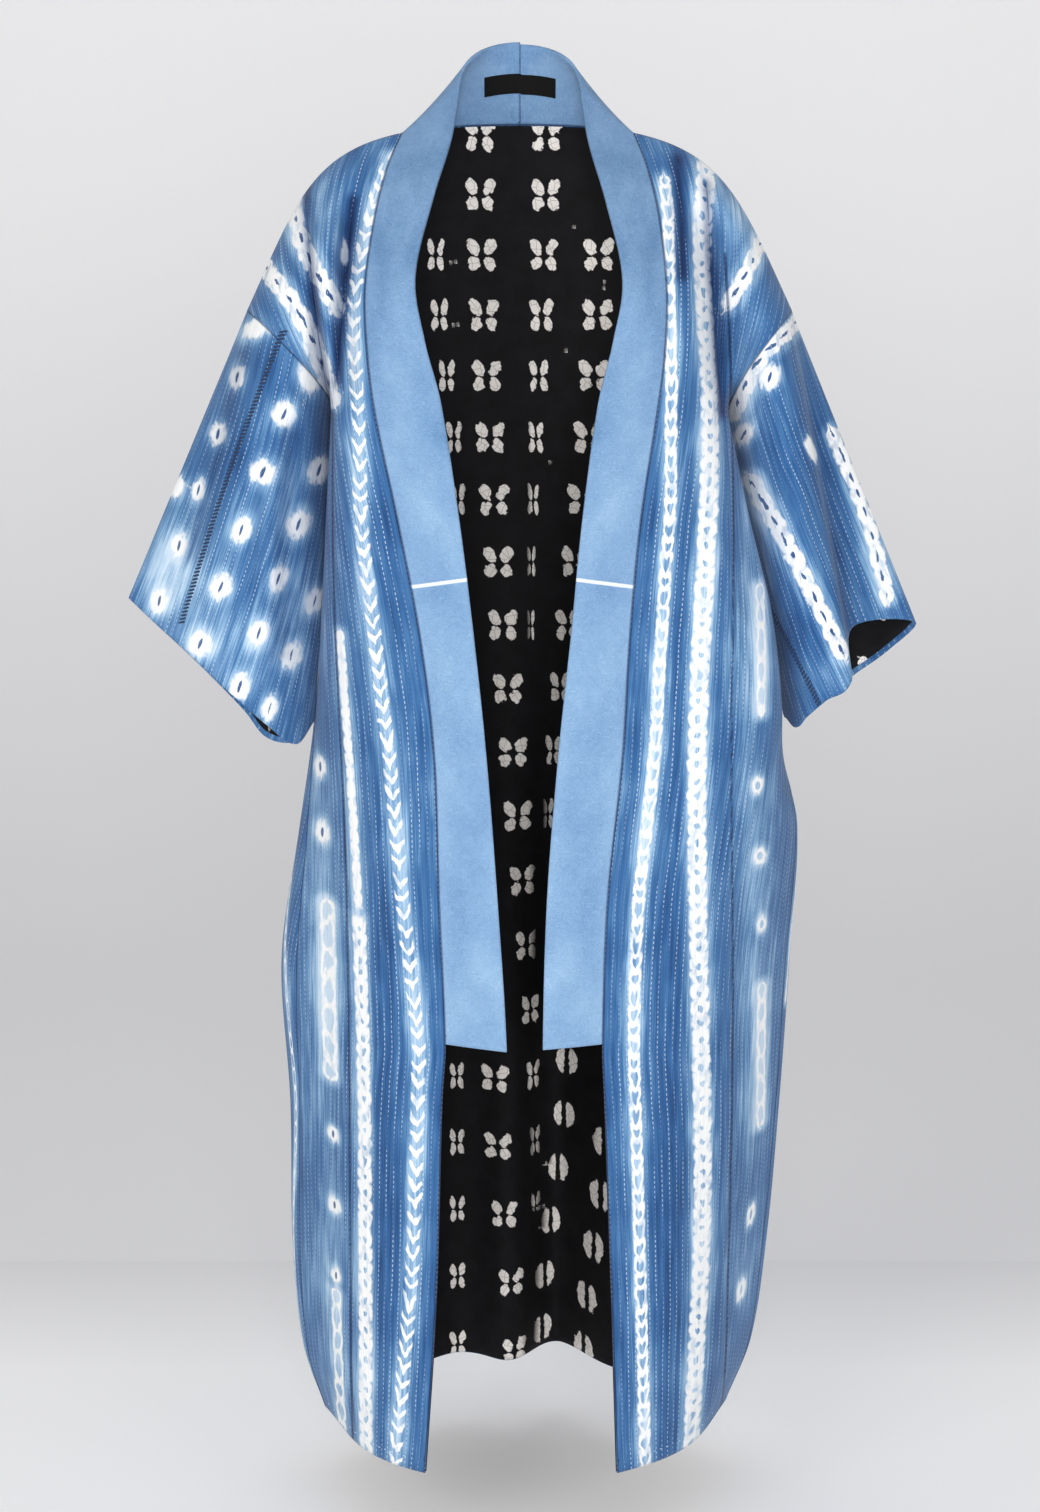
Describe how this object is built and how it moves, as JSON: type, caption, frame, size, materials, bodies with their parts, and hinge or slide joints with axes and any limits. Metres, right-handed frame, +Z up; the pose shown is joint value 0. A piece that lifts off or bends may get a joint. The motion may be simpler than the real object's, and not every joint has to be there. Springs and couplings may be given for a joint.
{
  "type": "kimono robe",
  "caption": "Open-front kimono robe in narrow indigo resist-dyed strips, black patterned lining, pale blue standing neckband, wide hanging sleeves, filled out as worn and hollow.",
  "frame": {"origin": "Between the two neck points, at the level where the shoulder seams meet the neckband: where the wearer's shoulders carry the robe.", "axes": "+Z is up, from hem to collar. -Y is the open front and +Y the back. +X is the wearer's left and -X the wearer's right."},
  "size_m": [0.7318, 0.3596, 1.2997],
  "materials": {
    "shell": "matt hand-woven indigo cotton with white resist-dyed marks",
    "lining": "matt black cotton with off-white motifs",
    "band": "matt light blue chambray, slightly crinkled",
    "label": "smooth black woven tape, plain"
  },
  "bodies": {
    "root": {"front_right": "shell", "front_left": "shell", "back": "shell", "sleeve_right": "shell", "sleeve_left": "shell", "lining_front_right": "lining", "lining_front_left": "lining", "lining_back": "lining", "lining_sleeve_right": "lining", "lining_sleeve_left": "lining", "neckband_right": "band", "neckband_left": "band", "label": "label"}
  },
  "joints": []
}
